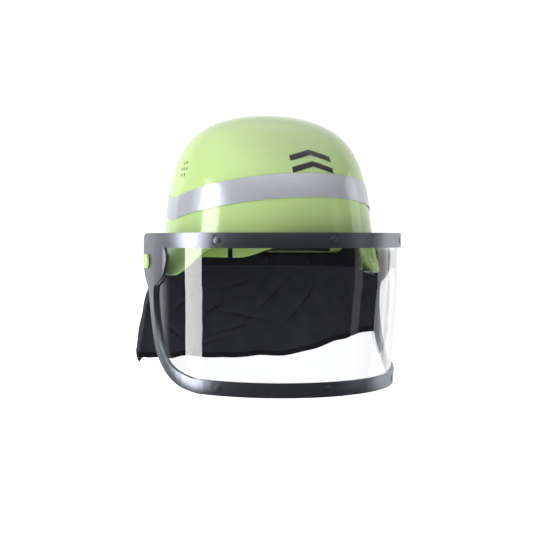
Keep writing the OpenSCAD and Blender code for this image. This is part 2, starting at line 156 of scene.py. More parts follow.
class StageSettings(bpy.types.PropertyGroup):
    azimuth: FloatProperty(
        name="Camera azimuth", description="Angle of the camera round the helmet", subtype="ANGLE",
        default=math.radians(-22.5),
    )
    distance: FloatProperty(
        name="Camera distance", description="Distance from the helmet's axis", unit="LENGTH", default=1.0,
    )
    eye_height: FloatProperty(
        name="Eye height", description="Height of the camera above the pivots", unit="LENGTH", default=0.020,
    )
    floor_colour: FloatVectorProperty(
        name="Floor colour", description="Plain pale floor", subtype="COLOR", size=3,
        default=(0.90, 0.90, 0.91),
    )


# ---------------------------------------------------------------- modelling helpers


def deselect():
    if bpy.context.object is not None and bpy.context.object.mode != "OBJECT":
        bpy.ops.object.mode_set(mode="OBJECT")
    bpy.ops.object.select_all(action="DESELECT")


def pick(obj, *others):
    """Selects these objects only and makes the first one active."""
    deselect()
    for each in (obj, *others):
        each.select_set(True)
    bpy.context.view_layer.objects.active = obj


def edit_all(obj, select_mode="VERT"):
    """Opens obj in edit mode with everything selected."""
    pick(obj)
    bpy.ops.object.mode_set(mode="EDIT")
    bpy.ops.mesh.select_mode(type=select_mode)
    bpy.ops.mesh.select_all(action="SELECT")


def leave_edit():
    bpy.ops.object.mode_set(mode="OBJECT")


def modify(obj, kind, **settings):
    """Adds a modifier, sets it and applies it."""
    pick(obj)
    modifier = obj.modifiers.new(kind.lower(), kind)
    for key, value in settings.items():
        setattr(modifier, key, value)
    bpy.ops.object.modifier_apply(modifier=modifier.name)


def named(name):
    """Names the primitive that was just added."""
    obj = bpy.context.object
    obj.name = name
    obj.data.name = name
    return obj


def settle(obj):
    """Puts the object's place and turn into its mesh."""
    pick(obj)
    bpy.ops.object.transform_apply(location=True, rotation=True, scale=True)
    return obj


def smooth_shade(obj, angle=32):
    pick(obj)
    bpy.ops.object.shade_smooth_by_angle(angle=math.radians(angle))


def weld(obj, distance=0.02 * MM):
    edit_all(obj)
    bpy.ops.mesh.remove_doubles(threshold=distance)
    leave_edit()


def surface(name, across, along, place):
    """A grid whose points lie at place(u, v), with u and v from 0 to 1."""
    deselect()
    bpy.ops.mesh.primitive_grid_add(x_subdivisions=across, y_subdivisions=along, size=2)
    obj = named(name)
    for vertex in obj.data.vertices:
        vertex.co = place((vertex.co.x + 1) / 2, (vertex.co.y + 1) / 2)
    return obj


def thicken(obj, thickness, offset=-1):
    modify(obj, "SOLIDIFY", thickness=thickness, offset=offset, use_even_offset=True)


def round_edges(obj, width, segments=2, angle=40):
    modify(
        obj, "BEVEL", width=width, segments=segments, limit_method="ANGLE",
        angle_limit=math.radians(angle), use_clamp_overlap=True, miter_outer="MITER_ARC",
    )


def from_node(node, name, radius=0.3 * MM, segments=2, flat=1.0, angle=40):
    """A finished piece from a CAD node: a merged copy with clean flats, rounded edges and smooth shading."""
    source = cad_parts[node]
    obj = source.copy()
    obj.data = source.data.copy()
    obj.name = name
    obj.data.name = name
    obj.parent = None
    for key in list(obj.keys()):
        del obj[key]
    bpy.context.scene.collection.objects.link(obj)
    obj.data.materials.clear()
    edit_all(obj)
    bpy.ops.mesh.remove_doubles(threshold=0.004 * MM)
    bpy.ops.mesh.dissolve_limited(angle_limit=math.radians(flat))
    leave_edit()
    if radius > 0:
        round_edges(obj, radius, segments, angle)
    smooth_shade(obj)
    return obj


def cylinder_x(name, radius, start, end, y=0.0, z=0.0, sides=48):
    """A cylinder along X from start to end."""
    deselect()
    bpy.ops.mesh.primitive_cylinder_add(
        vertices=sides, radius=radius, depth=abs(end - start),
        location=((start + end) / 2, y, z), rotation=(0, math.pi / 2, 0),
    )
    return settle(named(name))


def cut(obj, cutter):
    """Cuts cutter out of obj and removes it."""
    modify(obj, "BOOLEAN", operation="DIFFERENCE", object=cutter, solver="EXACT")
    bpy.data.objects.remove(cutter)


def join(obj, *others):
    pick(obj, *others)
    bpy.ops.object.join()
    return obj


def give(obj, body, slot, material, *nodes):
    """Finishes a piece: its material, its body and the nodes that it stands for. The slot argument is not
    used.
    """
    obj.data.materials.clear()
    obj.data.materials.append(material)
    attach(obj, body)
    if nodes:
        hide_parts(*nodes)
    return obj


# ---------------------------------------------------------------- node groups


def link(tree, source, target):
    tree.links.new(source, target)


def math_node(tree, operation, a, b=None):
    """A Math node; a and b are sockets or numbers."""
    node = tree.nodes.new("ShaderNodeMath")
    node.operation = operation
    for index, value in enumerate((a, b)):
        if value is None:
            continue
        if isinstance(value, (int, float)):
            node.inputs[index].default_value = value
        else:
            link(tree, value, node.inputs[index])
    return node.outputs[0]


def new_group(name, inputs, outputs):
    """An empty node group with named sockets; returns the group, its input node and its output node."""
    group = bpy.data.node_groups.new(name, "ShaderNodeTree")
    for label, kind, default in inputs:
        socket = group.interface.new_socket(label, in_out="INPUT", socket_type=kind)
        if default is not None:
            socket.default_value = default
    for label, kind in outputs:
        group.interface.new_socket(label, in_out="OUTPUT", socket_type=kind)
    return group, group.nodes.new("NodeGroupInput"), group.nodes.new("NodeGroupOutput")


def grain_group():
    """Fine moulded grain: a value from 0 to 1 and a bumped normal."""
    group, source, target = new_group(
        "moulded_grain",
        [("Vector", "NodeSocketVector", None), ("Scale", "NodeSocketFloat", 900.0),
         ("Depth", "NodeSocketFloat", 0.1), ("Softness", "NodeSocketFloat", 0.5)],
        [("Value", "NodeSocketFloat"), ("Normal", "NodeSocketVector")],
    )
    speckle = group.nodes.new("ShaderNodeTexNoise")
    speckle.inputs["Detail"].default_value = 4
    link(group, source.outputs["Vector"], speckle.inputs["Vector"])
    link(group, source.outputs["Scale"], speckle.inputs["Scale"])
    link(group, source.outputs["Softness"], speckle.inputs["Roughness"])
    bump = group.nodes.new("ShaderNodeBump")
    bump.inputs["Distance"].default_value = 0.3 * MM
    link(group, source.outputs["Depth"], bump.inputs["Strength"])
    link(group, speckle.outputs["Fac"], bump.inputs["Height"])
    link(group, speckle.outputs["Fac"], target.inputs["Value"])
    link(group, bump.outputs["Normal"], target.inputs["Normal"])
    return group


def cloudy_group():
    """Slow colour variation: mixes two colours by a broad noise."""
    group, source, target = new_group(
        "cloudy_colour",
        [("Vector", "NodeSocketVector", None), ("Scale", "NodeSocketFloat", 12.0),
         ("Colour A", "NodeSocketColor", (1, 1, 1, 1)), ("Colour B", "NodeSocketColor", (0, 0, 0, 1))],
        [("Color", "NodeSocketColor"), ("Mask", "NodeSocketFloat")],
    )
    clouds = group.nodes.new("ShaderNodeTexNoise")
    clouds.inputs["Detail"].default_value = 3
    ramp = group.nodes.new("ShaderNodeMapRange")
    ramp.inputs["From Min"].default_value = 0.35
    ramp.inputs["From Max"].default_value = 0.65
    mix = group.nodes.new("ShaderNodeMix")
    mix.data_type = "RGBA"
    link(group, source.outputs["Vector"], clouds.inputs["Vector"])
    link(group, source.outputs["Scale"], clouds.inputs["Scale"])
    link(group, clouds.outputs["Fac"], ramp.inputs["Value"])
    link(group, ramp.outputs["Result"], mix.inputs["Factor"])
    link(group, source.outputs["Colour A"], mix.inputs["A"])
    link(group, source.outputs["Colour B"], mix.inputs["B"])
    link(group, mix.outputs["Result"], target.inputs["Color"])
    link(group, ramp.outputs["Result"], target.inputs["Mask"])
    return group


def weave_group():
    """Plain weave from a piece's own UV map: how high each thread lies, and a bumped normal."""
    group, source, target = new_group(
        "plain_weave",
        [("Vector", "NodeSocketVector", None), ("Warp", "NodeSocketFloat", 400.0),
         ("Weft", "NodeSocketFloat", 200.0), ("Depth", "NodeSocketFloat", 0.3)],
        [("Height", "NodeSocketFloat"), ("Normal", "NodeSocketVector")],
    )
    split = group.nodes.new("ShaderNodeSeparateXYZ")
    link(group, source.outputs["Vector"], split.inputs["Vector"])
    waves = []
    for axis, count in (("X", "Warp"), ("Y", "Weft")):
        turns = math_node(group, "MULTIPLY", split.outputs[axis], source.outputs[count])
        angle = math_node(group, "MULTIPLY", turns, math.pi)
        waves.append(math_node(group, "ABSOLUTE", math_node(group, "SINE", angle)))
    warp_turns = math_node(group, "MULTIPLY", split.outputs["X"], source.outputs["Warp"])
    weft_turns = math_node(group, "MULTIPLY", split.outputs["Y"], source.outputs["Weft"])
    warp_cell = math_node(group, "FLOOR", warp_turns)
    weft_cell = math_node(group, "FLOOR", weft_turns)
    cell = math_node(group, "ADD", warp_cell, weft_cell)
    over = math_node(group, "FLOORED_MODULO", cell, 2.0)
    height = group.nodes.new("ShaderNodeMix")
    height.data_type = "FLOAT"
    link(group, over, height.inputs["Factor"])
    link(group, waves[0], height.inputs["A"])
    link(group, waves[1], height.inputs["B"])
    bump = group.nodes.new("ShaderNodeBump")
    bump.inputs["Distance"].default_value = 0.15 * MM
    link(group, source.outputs["Depth"], bump.inputs["Strength"])
    link(group, height.outputs["Result"], bump.inputs["Height"])
    link(group, height.outputs["Result"], target.inputs["Height"])
    link(group, bump.outputs["Normal"], target.inputs["Normal"])
    return group


def wear_group():
    """Fine scuffs: thin stretched noise that is set against a threshold."""
    group, source, target = new_group(
        "fine_scuffs",
        [("Vector", "NodeSocketVector", None), ("Scale", "NodeSocketFloat", 60.0),
         ("Amount", "NodeSocketFloat", 0.2)],
        [("Mask", "NodeSocketFloat")],
    )
    mapping = group.nodes.new("ShaderNodeMapping")
    mapping.inputs["Scale"].default_value = (1.0, 1.0, 9.0)
    mapping.inputs["Rotation"].default_value = (0.5, 0.3, 0.9)
    scratch = group.nodes.new("ShaderNodeTexNoise")
    scratch.inputs["Detail"].default_value = 6
    threshold = group.nodes.new("ShaderNodeMapRange")
    threshold.inputs["From Min"].default_value = 0.58
    threshold.inputs["From Max"].default_value = 0.74
    link(group, source.outputs["Vector"], mapping.inputs["Vector"])
    link(group, mapping.outputs["Vector"], scratch.inputs["Vector"])
    link(group, source.outputs["Scale"], scratch.inputs["Scale"])
    link(group, scratch.outputs["Fac"], threshold.inputs["Value"])
    link(group, math_node(group, "MULTIPLY", threshold.outputs["Result"], source.outputs["Amount"]),
         target.inputs["Mask"])
    return group


GROUPS = {}


def group_node(tree, name, vector, **values):
    """Places a shared node group in a material."""
    makers = {"grain": grain_group, "cloudy": cloudy_group, "weave": weave_group, "wear": wear_group}
    if name not in GROUPS:
        GROUPS[name] = makers[name]()
    node = tree.nodes.new("ShaderNodeGroup")
    node.node_tree = GROUPS[name]
    link(tree, vector, node.inputs["Vector"])
    for key, value in values.items():
        node.inputs[key.replace("_", " ")].default_value = value
    return node


# ---------------------------------------------------------------- materials


def shade_of(colour, share):
    """A colour made lighter or darker by a share."""
    return tuple(min(1.0, c * share) for c in colour)


def new_material(name, **values):
    """A Principled material with its constants set on the shader; returns material, tree and shader."""
    material = bpy.data.materials.new(name)
    material.use_nodes = True
    tree = material.node_tree
    shader = tree.nodes["Principled BSDF"]
    for key, value in values.items():
        socket = shader.inputs[key.replace("_", " ")]
        socket.default_value = (*value, 1.0) if isinstance(value, tuple) else value
    return material, tree, shader


def object_coordinates(tree):
    return tree.nodes.new("ShaderNodeTexCoord").outputs["Object"]


def uv_coordinates(tree):
    return tree.nodes.new("ShaderNodeUVMap").outputs["UV"]


def rough_between(tree, mask, low, high):
    """A roughness that runs from low to high with a mask."""
    span = tree.nodes.new("ShaderNodeMapRange")
    span.inputs["To Min"].default_value = low
    span.inputs["To Max"].default_value = high
    link(tree, mask, span.inputs["Value"])
    return span.outputs["Result"]


def plastic(
    name, colour, rough=(0.2, 0.3), grain_scale=1200.0, grain_depth=0.05, tint=0.92, wear=0.15, **more
):
    """Moulded plastic: slow colour drift, fine grain and a few scuffs."""
    material, tree, shader = new_material(name, **more)
    where = object_coordinates(tree)
    cloudy = group_node(
        tree, "cloudy", where, Scale=14.0, Colour_A=(*colour, 1.0), Colour_B=(*shade_of(colour, tint), 1.0),
    )
    grain = group_node(tree, "grain", where, Scale=grain_scale, Depth=grain_depth)
    scuffs = group_node(tree, "wear", where, Scale=70.0, Amount=wear)
    half_grain = math_node(tree, "MULTIPLY", grain.outputs["Value"], 0.5)
    mask = math_node(tree, "ADD", half_grain, scuffs.outputs["Mask"])
    link(tree, cloudy.outputs["Color"], shader.inputs["Base Color"])
    link(tree, rough_between(tree, mask, *rough), shader.inputs["Roughness"])
    link(tree, grain.outputs["Normal"], shader.inputs["Normal"])
    return material


def shell_material(settings):
    return plastic(
        "luminous_shell", tuple(settings.colour), rough=(0.10, 0.22), grain_scale=240.0, grain_depth=0.012,
        tint=0.95, wear=0.10, Specular_IOR_Level=0.45, Subsurface_Weight=0.12,
        Subsurface_Scale=0.004,
    )


def tape_material(settings):
    """Reflective tape: a silver film with a fine honeycomb of cells and slight handling marks."""
    material, tree, shader = new_material(
        "reflective_film", Metallic=0.35, Coat_Weight=0.5, Coat_Roughness=0.12
    )
    where = object_coordinates(tree)
    colour = tuple(settings.colour)
    cloudy = group_node(
        tree, "cloudy", where, Scale=30.0, Colour_A=(*colour, 1.0), Colour_B=(*shade_of(colour, 0.96), 1.0),
    )
    cells = tree.nodes.new("ShaderNodeTexVoronoi")
    cells.feature = "DISTANCE_TO_EDGE"
    cells.inputs["Scale"].default_value = 480.0
    link(tree, where, cells.inputs["Vector"])
    edge = tree.nodes.new("ShaderNodeMapRange")
    edge.inputs["From Max"].default_value = 0.12
    link(tree, cells.outputs["Distance"], edge.inputs["Value"])
    darker = tree.nodes.new("ShaderNodeMix")
    darker.data_type = "RGBA"
    darker.inputs["A"].default_value = (*shade_of(colour, 0.88), 1.0)
    link(tree, edge.outputs["Result"], darker.inputs["Factor"])
    link(tree, cloudy.outputs["Color"], darker.inputs["B"])
    bump = tree.nodes.new("ShaderNodeBump")
    bump.inputs["Strength"].default_value = 0.10
    bump.inputs["Distance"].default_value = 0.1 * MM
    link(tree, edge.outputs["Result"], bump.inputs["Height"])
    link(tree, darker.outputs["Result"], shader.inputs["Base Color"])
    link(tree, rough_between(tree, cloudy.outputs["Mask"], 0.30, 0.36), shader.inputs["Roughness"])
    link(tree, bump.outputs["Normal"], shader.inputs["Normal"])
    return material


def pane_material(settings):
    """Clear flexible plastic. Lamps shine through it, so what hangs behind it stays lit."""
    material, tree, shader = new_material(
        "clear_pane", Transmission_Weight=1.0, IOR=1.52, Base_Color=tuple(settings.pane_tint), Metallic=0.0,
    )
    where = object_coordinates(tree)
    smudge = group_node(tree, "grain", where, Scale=26.0, Depth=0.0)
    scuffs = group_node(tree, "wear", where, Scale=55.0, Amount=0.5)
    mask = math_node(tree, "MULTIPLY", smudge.outputs["Value"], scuffs.outputs["Mask"])
    link(tree, rough_between(tree, mask, 0.004, 0.05), shader.inputs["Roughness"])
    output = tree.nodes["Material Output"]
    clear = tree.nodes.new("ShaderNodeBsdfTransparent")
    path = tree.nodes.new("ShaderNodeLightPath")
    mix = tree.nodes.new("ShaderNodeMixShader")
    link(tree, path.outputs["Is Shadow Ray"], mix.inputs["Fac"])
    link(tree, shader.outputs["BSDF"], mix.inputs[1])
    link(tree, clear.outputs["BSDF"], mix.inputs[2])
    link(tree, mix.outputs["Shader"], output.inputs["Surface"])
    return material


def cloth_material(name, colour, warp, weft, depth=0.35, sheen=0.25, contrast=0.8):
    """Woven cloth on its own UV map: weave, painted shade where the threads lie low, slow colour drift and a
    soft sheen.
    """
    material, tree, shader = new_material(
        name, Sheen_Weight=sheen, Sheen_Roughness=0.5, Specular_IOR_Level=0.12,
    )
    uv = uv_coordinates(tree)
    where = object_coordinates(tree)
    weave = group_node(tree, "weave", uv, Warp=warp, Weft=weft, Depth=depth)
    cloudy = group_node(
        tree, "cloudy", where, Scale=55.0, Colour_A=(*colour, 1.0), Colour_B=(*shade_of(colour, 0.75), 1.0),
    )
    # Painted shade: where the weave lies low the colour darkens by contrast, standing in for shade between
    # the threads.
    thread = tree.nodes.new("ShaderNodeMix")
    thread.data_type = "RGBA"
    thread.inputs["A"].default_value = (*shade_of(colour, contrast), 1.0)
    link(tree, weave.outputs["Height"], thread.inputs["Factor"])
    link(tree, cloudy.outputs["Color"], thread.inputs["B"])
    link(tree, thread.outputs["Result"], shader.inputs["Base Color"])
    smoothest = blend(0.7, 0.9, contrast)
    link(tree, rough_between(tree, weave.outputs["Height"], 0.9, smoothest), shader.inputs["Roughness"])
    link(tree, weave.outputs["Normal"], shader.inputs["Normal"])
    return material


def metal_material(name, colour, rough):
    material, tree, shader = new_material(name, Metallic=1.0)
    where = object_coordinates(tree)
    grain = group_node(tree, "grain", where, Scale=2600.0, Depth=0.06)
    scuffs = group_node(tree, "wear", where, Scale=160.0, Amount=0.4)
    cloudy = group_node(
        tree, "cloudy", where, Scale=120.0, Colour_A=(*colour, 1.0), Colour_B=(*shade_of(colour, 0.8), 1.0),
    )
    link(tree, cloudy.outputs["Color"], shader.inputs["Base Color"])
    link(tree, rough_between(tree, scuffs.outputs["Mask"], rough, rough + 0.25), shader.inputs["Roughness"])
    link(tree, grain.outputs["Normal"], shader.inputs["Normal"])
    return material


def foam_cloth_material(name, colour):
    """Knitted cover of the pads: a mesh of small round holes on object coordinates."""
    material, tree, shader = new_material(name, Sheen_Weight=0.4, Sheen_Roughness=0.4)
    where = object_coordinates(tree)
    knit = tree.nodes.new("ShaderNodeTexVoronoi")
    knit.inputs["Scale"].default_value = 620.0
    link(tree, where, knit.inputs["Vector"])
    ramp = tree.nodes.new("ShaderNodeMapRange")
    ramp.inputs["From Max"].default_value = 0.5
    link(tree, knit.outputs["Distance"], ramp.inputs["Value"])
    mix = tree.nodes.new("ShaderNodeMix")
    mix.data_type = "RGBA"
    mix.inputs["A"].default_value = (*shade_of(colour, 0.4), 1.0)
    mix.inputs["B"].default_value = (*shade_of(colour, 1.3), 1.0)
    bump = tree.nodes.new("ShaderNodeBump")
    bump.inputs["Strength"].default_value = 0.4
    bump.inputs["Distance"].default_value = 0.3 * MM
    link(tree, ramp.outputs["Result"], mix.inputs["Factor"])
    link(tree, ramp.outputs["Result"], bump.inputs["Height"])
    link(tree, mix.outputs["Result"], shader.inputs["Base Color"])
    link(tree, rough_between(tree, ramp.outputs["Result"], 0.95, 0.8), shader.inputs["Roughness"])
    link(tree, bump.outputs["Normal"], shader.inputs["Normal"])
    return material


# ---------------------------------------------------------------- shape of the shell


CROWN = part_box("shell")[1].z
BELT = 28 * MM
HALF_WIDTH = 98 * MM
HALF_LENGTH = 127 * MM
SIDE_FLARE = 15 * MM
END_FLARE = 3 * MM
BROW_RIM = 13.5 * MM
FLAP_RIM = -12 * MM
NOTCH_RIM = 2 * MM
NAPE_RIM = -14 * MM
SKIRT_SHARE = 0.2
PIVOT_BOSS_RADIUS = 10 * MM
VENT_CENTRE = (-12 * MM, 88 * MM)
VENT_GAP = 5.8 * MM
VENT_LIP = 1.3 * MM
VENT_ROOM_RADIUS = 2.5 * MM


def clamp(x):
    return max(0.0, min(1.0, x))


def smooth(x):
    x = clamp(x)
    return x * x * (3 - 2 * x)


def blend(a, b, share):
    return a + (b - a) * share


def shell_half(z):
    """Half-width and half-length of the shell's outside at height z."""
    up = clamp((z - BELT) / (CROWN - BELT))
    down = max(0.0, (BELT - z) / (BELT - FLAP_RIM)) ** 1.4
    taper = 1 - 0.13 * up
    width = HALF_WIDTH * taper * max(0.0, 1 - up**5) ** 0.45 + SIDE_FLARE * down
    length = HALF_LENGTH * taper * max(0.0, 1 - up**3) ** 0.48 + END_FLARE * down
    return width, length


def shell_point(angle, z, out=0.0):
    """A point on the shell; angle is in degrees from the front towards +X."""
    width, length = shell_half(z)
    a = math.radians(angle)
    return Vector(((width + out) * math.sin(a), -(length + out) * math.cos(a), z))


def rim_height(angle):
    """Height of the rim: brow, ear flap, notch and nape."""
    b = abs(angle)
    return (
        BROW_RIM
        + (FLAP_RIM - BROW_RIM) * smooth((b - 55) / 19)
        + (NOTCH_RIM - FLAP_RIM) * smooth((b - 113) / 11)
        + (NAPE_RIM - NOTCH_RIM) * smooth((b - 130) / 11)
    )


def tape_height(angle):
    """Middle of the tapes: two tilted rings that meet in a V at the sides."""
    c = math.cos(math.radians(angle))
    return (50 + 19 * c) * MM if c > 0 else (50 - 12 * c) * MM


def shell_surface(u, v):
    angle = blend(-180, 180, u)
    if v < SKIRT_SHARE:
        z = blend(rim_height(angle), BELT, v / SKIRT_SHARE)
    else:
        turn = (v - SKIRT_SHARE) / (1 - SKIRT_SHARE)
        z = BELT + (CROWN - BELT) * math.sin(math.pi / 2 * turn)
    return shell_point(angle, z)


def vent_cutter(settings):
    """Rods for two, three and two vents on both sides; each vent widens behind a thin lip."""
    rods = []
    for row in (-1, 0, 1):
        count = 3 if row == 0 else 2
        for i in range(count):
            y = VENT_CENTRE[0] + (i - (count - 1) / 2) * VENT_GAP
            z = VENT_CENTRE[1] + row * VENT_GAP
            rods.append(cylinder_x("vent_rod", settings.vent_radius, -0.13, 0.13, y, z, sides=20))
            width, length = shell_half(z)
            room = width * math.sqrt(1 - (y / length) ** 2) - VENT_LIP
            rods.append(cylinder_x("vent_room", VENT_ROOM_RADIUS, -room, room, y, z, sides=20))
    return join(*rods)


class HELMET_OT_shell(bpy.types.Operator):
    """Builds the moulded shell with its rim, vents and pivot bosses"""

    bl_idname = "helmet.shell"
    bl_label = "Shell"

    def execute(self, context):
        settings = context.scene.helmet_shell
        shell = surface("shell_body", 180, 50, shell_surface)
        weld(shell)
        thicken(shell, settings.wall)
        round_edges(shell, 1.1 * MM, segments=4, angle=50)
        cut(shell, vent_cutter(settings))
        round_edges(shell, 0.25 * MM, segments=2, angle=60)
        ear_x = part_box("right_pivot_washer")[0].x
        for side in (-1, 1):
            boss = cylinder_x("boss", PIVOT_BOSS_RADIUS, side * 103.5 * MM, side * ear_x)
            cut(boss, cylinder_x("bore", 3.05 * MM, side * 0.09, side * 0.13))
            round_edges(boss, 0.5 * MM, segments=2, angle=50)
            join(shell, boss)
        smooth_shade(shell, 35)
        give(shell, "helmet", "shell_plastic", shell_material(settings), "shell")
        return {"FINISHED"}


# ---------------------------------------------------------------- tapes and mark


def tape(name, start, end, settings, lift, curl):
    """A strip of film on the shell between two angles; its ends lift by curl."""
    half = settings.width / 2

    def place(u, v):
        angle = blend(start, end, u)
        ripple = noise.noise(Vector((angle * 0.12, v * 2.0, 3.0))) * 0.10 * MM
        edge = min(u, 1 - u) * (end - start)
        up = lift + ripple + curl * (1 - smooth(edge / 3.0))
        return shell_point(angle, tape_height(angle) + blend(-half, half, v), up)

    strip = surface(name, 170, 8, place)
    thicken(strip, settings.thickness, offset=1)
    round_edges(strip, 0.12 * MM, segments=1, angle=60)
    smooth_shade(strip, 40)
    return strip


class HELMET_OT_tapes(bpy.types.Operator):
    """Lays the front and rear reflective tapes round the shell"""

    bl_idname = "helmet.tapes"
    bl_label = "Reflective Tapes"

    def execute(self, context):
        settings = context.scene.helmet_tape
        film = tape_material(settings)
        front = tape("front_tape", -84, 84, settings, 0.45 * MM, 0.5 * MM)
        rear = tape("rear_tape", 81.5, 278.5, settings, 0.12 * MM, 0.0)
        give(front, "helmet", "reflective_tape", film, "front_reflective_tape")
        give(rear, "helmet", "reflective_tape", film, "rear_reflective_tape")
        return {"FINISHED"}


class HELMET_OT_mark(bpy.types.Operator):
    """Places the plain chevron mark over the front tape"""

    bl_idname = "helmet.mark"
    bl_label = "Front Mark"

    def execute(self, context):
        settings = context.scene.helmet_shell
        film = plastic("mark_film", tuple(settings.mark_colour), rough=(0.3, 0.45), grain_scale=1500.0,
                       Specular_IOR_Level=0.25)
        mark = from_node("front_decal", "front_mark", radius=0.08 * MM, segments=1)
        give(mark, "helmet", "decal_film", film, "front_decal")
        return {"FINISHED"}


# ---------------------------------------------------------------- visor


def frame_plastic(settings):
    return plastic(
        "visor_grey", tuple(settings.frame_colour), rough=(0.34, 0.42), grain_scale=900.0, grain_depth=0.006,
        tint=0.96, wear=0.06, Metallic=0.95,
    )


OVAL_BACK = 7 * MM
BAR_LEVEL = -22 * MM
CHIN_LEVEL = -118.5 * MM
BAR_MIDDLE = 19.75 * MM
CHIN_MIDDLE = -110 * MM
PANE_INSET = 3.15 * MM
PANE_THICK = 1 * MM
PANE_TOP = 24.5 * MM
PANE_LOW = -114.5 * MM
STUD_ANGLE = 47
PANE_REAR = (
    (24.5, -13), (-12, -13), (-24, -6), (-34, 0), (-48, 1), (-64, -3), (-84, -12), (-101, -31), (-111.5, -56),
    (-114.5, -78),
)


def signed_power(value, power):
    return math.copysign(abs(value) ** power, value)


def visor_size(z, inset):
    """Half-width, length in front of the oval's middle, and roundness of the visor's plan at height z."""
    down = clamp((BAR_LEVEL - z) / (BAR_LEVEL - CHIN_LEVEL))
    width = blend(122 * MM, 118 * MM, down) - inset
    length = blend(145.5 * MM, 135 * MM, down) - inset
    return width, length, blend(2.1, 2.0, down)


def visor_point(angle, z, inset):
    """A point of the visor's plan; beyond 90 degrees the plan runs straight back, 1 mm a degree."""
    width, length, power = visor_size(z, inset)
    turn = math.radians(max(-90.0, min(90.0, angle)))
    x = width * signed_power(math.sin(turn), 2 / power)
    y = -OVAL_BACK - length * max(0.0, math.cos(turn)) ** (2 / power)
    return Vector((x, y + max(0.0, abs(angle) - 90) * MM, z))


def pane_reach(z):
    """The angle at which the pane's rear edge lies at height z."""
    for (z1, y1), (z2, y2) in zip(PANE_REAR, PANE_REAR[1:]):
        if z >= z2 * MM or z2 == PANE_REAR[-1][0]:
            y = blend(y1, y2, smooth((z1 * MM - z) / ((z1 - z2) * MM))) * MM
            break
    if y > -OVAL_BACK:
        return 90 + (y + OVAL_BACK) / MM
    _, length, power = visor_size(z, PANE_INSET)
    return math.degrees(math.acos(((-OVAL_BACK - y) / length) ** (power / 2)))


class HELMET_OT_visor_frame(bpy.types.Operator):
    """Finishes the visor frame and its rivets"""

    bl_idname = "helmet.visor_frame"
    bl_label = "Visor Frame"

    def execute(self, context):
        settings = context.scene.helmet_visor
        grey = frame_plastic(settings)
        visor = from_node("visor_frame", "visor_frame_moulding", radius=settings.edge_radius, segments=3)
        give(visor, "visor", "frame_plastic", grey, "visor_frame")
        for node, z in (("upper_visor_studs", BAR_MIDDLE), ("lower_visor_studs", CHIN_MIDDLE)):
            rivets = join(*(self.rivet(angle, z) for angle in (-STUD_ANGLE, 0, STUD_ANGLE)))
            rivets.name = node.replace("studs", "rivets")
            smooth_shade(rivets, 50)
            give(rivets, "visor", "stud_plastic", grey, node)
        return {"FINISHED"}

    def rivet(self, angle, z):
        """A low rivet head with its shank and the disc behind the pane."""
        here = visor_point(angle, z, 0)
        side = visor_point(angle + 1, z, 0) - visor_point(angle - 1, z, 0)
        up = visor_point(angle, z + MM, 0) - visor_point(angle, z - MM, 0)
        outwards = side.cross(up).normalized()
        turn = outwards.to_track_quat("Z", "Y").to_euler()
        parts = []
        for radius, start, end in ((3.4, -0.1, 0.38), (1.45, -5.0, 0.2), (3.4, -5.5, -4.35)):
            deselect()
            bpy.ops.mesh.primitive_cylinder_add(
                vertices=40, radius=radius * MM, depth=(end - start) * MM,
                location=here + outwards * (start + end) / 2 * MM, rotation=turn,
            )
            disc = settle(named("rivet_disc"))
            round_edges(disc, 0.22 * MM, segments=3, angle=50)
            parts.append(disc)
        return join(*parts)


class HELMET_OT_visor_pane(bpy.types.Operator):
    """Forms the clear flexible pane"""

    bl_idname = "helmet.visor_pane"
    bl_label = "Visor Pane"

    def execute(self, context):
        settings = context.scene.helmet_visor

        def place(u, v):
            z = blend(PANE_LOW, PANE_TOP, v)
            reach = pane_reach(z)
            return visor_point(blend(-reach, reach, u), z, PANE_INSET)

        pane = surface("visor_clear_pane", 200, 90, place)
        thicken(pane, PANE_THICK)
        for angle in (-STUD_ANGLE, 0, STUD_ANGLE):
            for z in (BAR_MIDDLE, CHIN_MIDDLE):
                here = visor_point(angle, z, PANE_INSET)
                deselect()
                bpy.ops.mesh.primitive_cylinder_add(
                    vertices=24, radius=1.6 * MM, depth=12 * MM, location=here,
                    rotation=Vector((here.x, here.y * 0.7, 0)).to_track_quat("Z", "Y").to_euler(),
                )
                cut(pane, settle(named("rivet_hole")))
        smooth_shade(pane, 40)
        give(pane, "visor", "clear_pane", pane_material(settings), "visor_pane")
        return {"FINISHED"}


class HELMET_OT_pivots(bpy.types.Operator):
    """Finishes the pivot buttons, pins, washers and nuts"""

    bl_idname = "helmet.pivots"
    bl_label = "Visor Pivots"

    def execute(self, context):
        shell = context.scene.helmet_shell
        # The buttons take the shell's green made 12% lighter: that lift is painted light on their caps.
        cap = plastic("button_green_painted_light", shade_of(shell.colour, 1.12), rough=(0.12, 0.2), Coat_Weight=0.5,
                      grain_depth=0.02)
        steel = metal_material("turned_steel", (0.60, 0.60, 0.62), 0.28)
        rubber = plastic("washer_black", (0.02, 0.02, 0.022), rough=(0.5, 0.7), grain_depth=0.15)
        for side in ("left", "right"):
            for node, slot, finish, radius in (
                ("pivot_button", "button_plastic", cap, 0.35 * MM),
                ("pivot_pin", "pin_metal", steel, 0.4 * MM),
                ("pivot_washer", "washer_plastic", rubber, 0.25 * MM),
                ("pivot_nut", "pin_metal", steel, 0.3 * MM),
            ):
                source = f"{side}_{node}"
                piece = from_node(source, f"{source}_part", radius=radius, segments=3)
                give(piece, "helmet", slot, finish, source)
        return {"FINISHED"}


# ---------------------------------------------------------------- neck curtain


